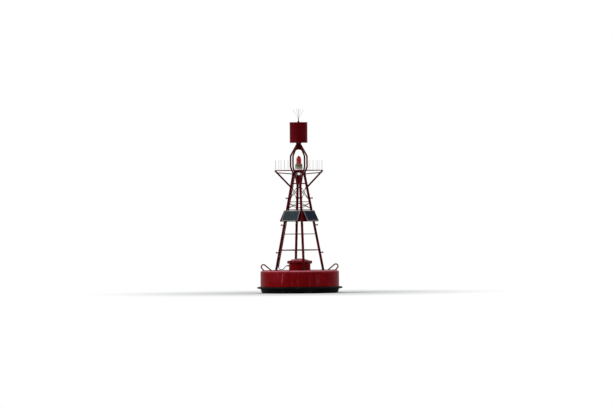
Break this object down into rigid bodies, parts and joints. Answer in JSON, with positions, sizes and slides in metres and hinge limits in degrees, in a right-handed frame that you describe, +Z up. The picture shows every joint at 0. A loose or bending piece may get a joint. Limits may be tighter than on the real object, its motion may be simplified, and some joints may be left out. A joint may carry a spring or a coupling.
{
  "type": "lighted navigation buoy",
  "caption": "Lighted can buoy: round steel hull with a ballasted tail tube, lattice tower with a solar skirt, guarded red lantern and can topmark; the hatch lid is hinged.",
  "frame": {"origin": "on the buoy's axis at its waterline", "axes": "+Z up along the buoy's axis; the tower's legs and the lifting eyes stand on X and Y, the lifting eyes on -X and +X"},
  "size_m": [2.6096, 2.6098, 8.3197],
  "materials": {
    "hull_red": "gloss marine paint",
    "tower_red": "worn gloss paint",
    "topmark_red": "satin paint",
    "bottom_black": "matt antifouling",
    "fender_rubber": "moulded rubber",
    "ballast_iron": "tarred casting",
    "crate_plastic": "moulded",
    "gasket_rubber": "sheet rubber",
    "bare_steel": "weathered",
    "aluminium_rail": "anodised",
    "solar_cells": "cells under glass",
    "table_dark": "dark paint",
    "lantern_pale": "moulded",
    "lantern_olive": "moulded",
    "lens_red": "clear moulded lens",
    "gland_plastic": "nylon",
    "cable_sheath": "rubber sheath"
  },
  "bodies": {
    "buoy": {"hull_upper": "hull_red", "hull_bottom": "bottom_black", "fender_ring": "fender_rubber", "tail_tube": "bottom_black", "tail_gussets": "bottom_black", "ballast_rings": "ballast_iron", "mooring_lug": "bottom_black", "battery_pocket": "hull_red", "battery_crate": "crate_plastic", "hatch_gasket": "gasket_rubber", "hinge_bracket": "hull_red", "hinge_pin": "bare_steel", "lifting_eye_left": "hull_red", "lifting_eye_right": "hull_red", "foot_plates": "tower_red", "leg_front": "tower_red", "leg_right": "tower_red", "leg_back": "tower_red", "leg_left": "tower_red", "rungs_low": "tower_red", "rungs_mid": "tower_red", "rungs_skirt": "tower_red", "rungs_upper": "tower_red", "rungs_head": "tower_red", "braces_lower": "tower_red", "braces_upper": "tower_red", "climbing_pegs": "tower_red", "skirt_arms": "tower_red", "skirt_shell": "tower_red", "panel_rails": "aluminium_rail", "panel_frames": "aluminium_rail", "panel_cells": "solar_cells", "head_plate": "tower_red", "guard_struts": "tower_red", "guard_ties": "tower_red", "guard_rail": "tower_red", "guard_wires": "bare_steel", "lantern_table": "table_dark", "lantern_base": "lantern_pale", "lantern_body": "lantern_olive", "lantern_lens": "lens_red", "lamp_stack": "bare_steel", "cage_bars": "tower_red", "cage_crown": "tower_red", "topmark_can": "topmark_red", "topmark_spigot": "bare_steel", "conduit": "tower_red", "conduit_clips": "bare_steel", "cable_gland": "gland_plastic", "deck_cable": "cable_sheath"},
    "hatch": {"hatch_lid": "hull_red", "lid_handle": "hull_red"}
  },
  "joints": [
    {"name": "hatch_hinge", "type": "hinge", "parent": "buoy", "child": "hatch", "pos_m": [0.29274, 0.29274, 0.9526], "axis": [-0.7071, 0.7071, 0], "range_deg": [0, 65]}
  ]
}
